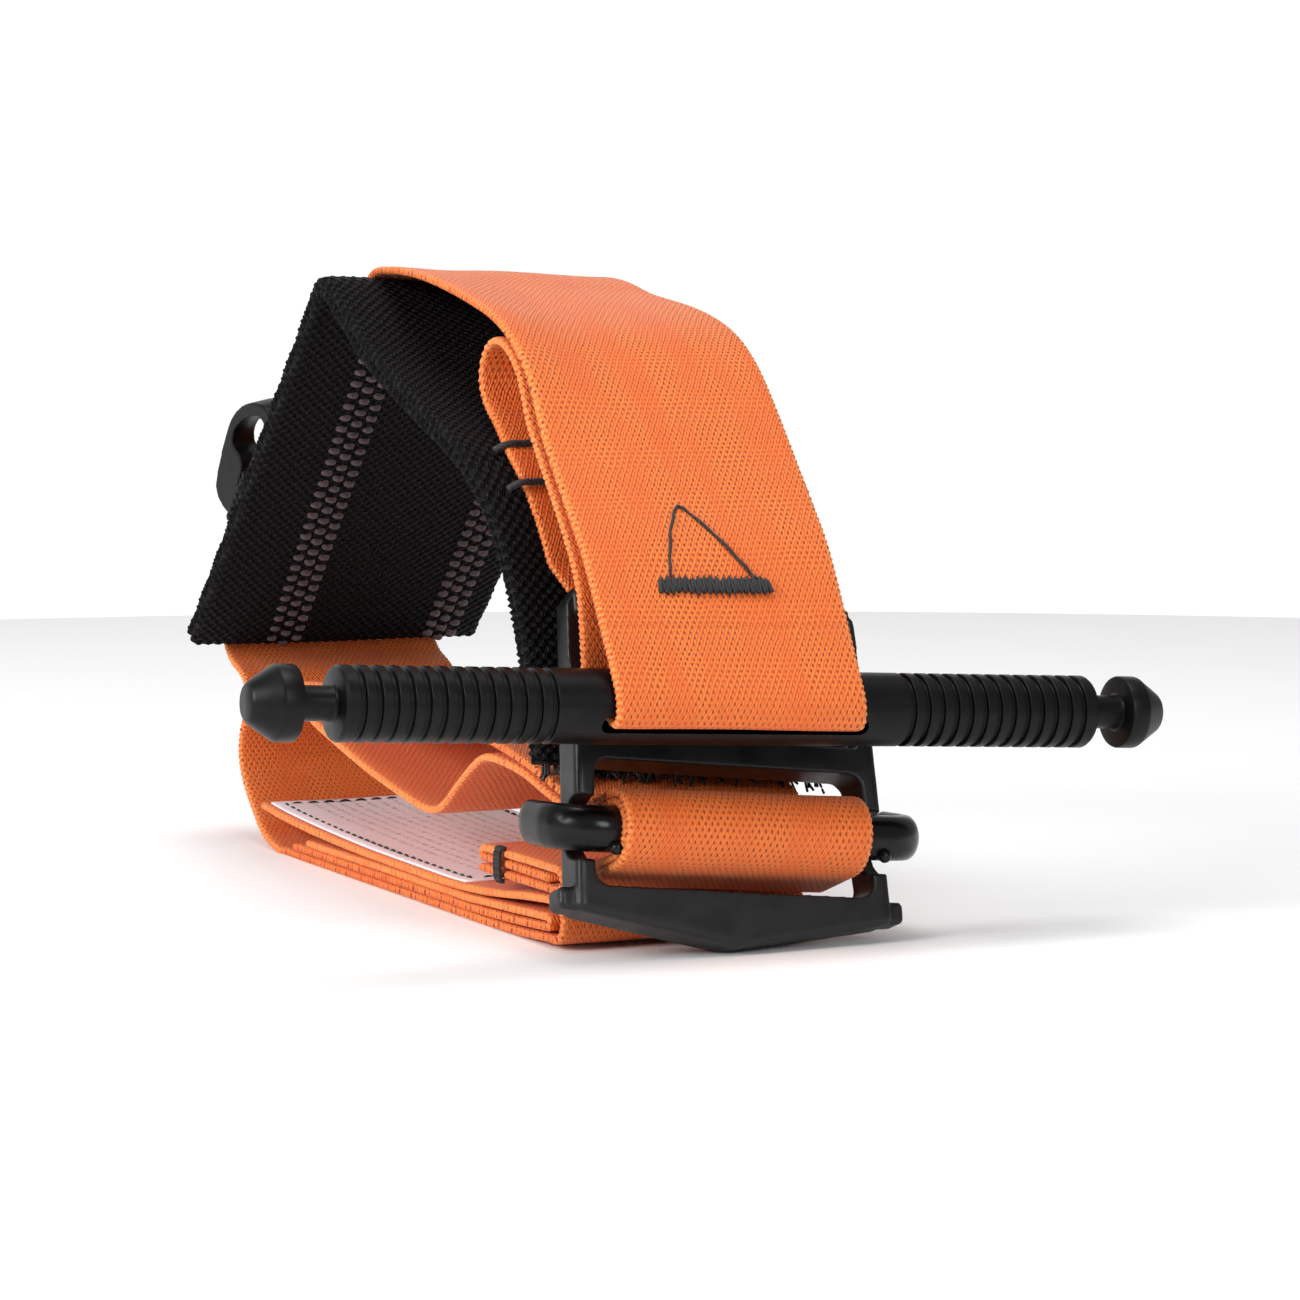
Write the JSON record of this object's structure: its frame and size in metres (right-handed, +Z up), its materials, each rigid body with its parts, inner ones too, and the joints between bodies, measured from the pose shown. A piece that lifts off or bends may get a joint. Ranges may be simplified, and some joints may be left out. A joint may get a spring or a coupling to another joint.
{
  "type": "tourniquet",
  "caption": "Folded windlass tourniquet: orange webbing strap over a black sleeve, a grooved twisting rod on a strap loop, a ladder buckle with a slider bar, and a rod locking ring.",
  "frame": {"origin": "middle of the bounding box, on the ground", "axes": "+X along the windlass rod to the right as seen from the front, +Y to the back away from the buckle, +Z up"},
  "size_m": [0.1398, 0.1622, 0.0959],
  "materials": {
    "black_anodised_metal": "satin black anodised",
    "orange_webbing": "woven webbing",
    "black_moulding": "satin moulded",
    "black_gloss_moulding": "gloss moulded",
    "black_webbing": "coarse woven webbing",
    "label_cloth": "smooth printed cloth",
    "black_thread": "bonded sewing thread"
  },
  "bodies": {
    "base": {"base_webbing_outer": "black_webbing", "base_webbing_inner": "black_webbing", "front_strap_panel": "orange_webbing", "rear_strap_panel": "orange_webbing", "strap_fold_loop": "orange_webbing", "buckle_anchor_strap": "orange_webbing", "strap_back_turn": "orange_webbing", "strap_ground_layer": "orange_webbing", "strap_inner_fold": "orange_webbing", "strap_tail": "orange_webbing", "strap_tail_end": "orange_webbing", "label": "label_cloth", "label_border_stitch": "black_thread", "panel_triangle_stitch": "black_thread", "panel_bartack": "black_thread", "fold_tack_upper": "black_thread", "fold_tack_lower": "black_thread", "tail_bartack": "black_thread", "lock_ring_keeper": "black_webbing"},
    "windlass_strap": {"windlass_strap_loop": "orange_webbing"},
    "windlass_rod": {"windlass": "black_anodised_metal"},
    "buckle": {"buckle_frame": "black_moulding"},
    "slider": {"slider_bar": "black_gloss_moulding", "slider_strap_outer": "orange_webbing", "slider_strap_inner": "orange_webbing"},
    "ring": {"lock_ring": "black_moulding"}
  },
  "joints": [
    {"name": "windlass_swing", "type": "hinge", "parent": "base", "child": "windlass_strap", "pos_m": [0, -0.07008, 0.0519], "axis": [-1, 0, 0], "range_deg": [0, 50]},
    {"name": "windlass_turn", "type": "hinge", "parent": "windlass_strap", "child": "windlass_rod", "pos_m": [0, -0.07418, 0.0348], "axis": [0, 0.2332, 0.9724], "range_deg": [-8, 8], "deforming": ["windlass_strap_loop"]},
    {"name": "buckle_swing", "type": "hinge", "parent": "base", "child": "buckle", "pos_m": [0.00711, -0.05509, 0.04614], "axis": [-0.9945, 0, 0.1045], "range_deg": [0, 4]},
    {"name": "slider_release", "type": "slide", "parent": "buckle", "child": "slider", "axis": [0.0366, -0.9367, 0.3483], "range_m": [0, 0.005]},
    {"name": "lock_ring_tip", "type": "hinge", "parent": "base", "child": "ring", "pos_m": [-0.0184, 0.0585, 0.06058], "axis": [0, 0.7369, -0.676], "range_deg": [-60, 80]}
  ]
}
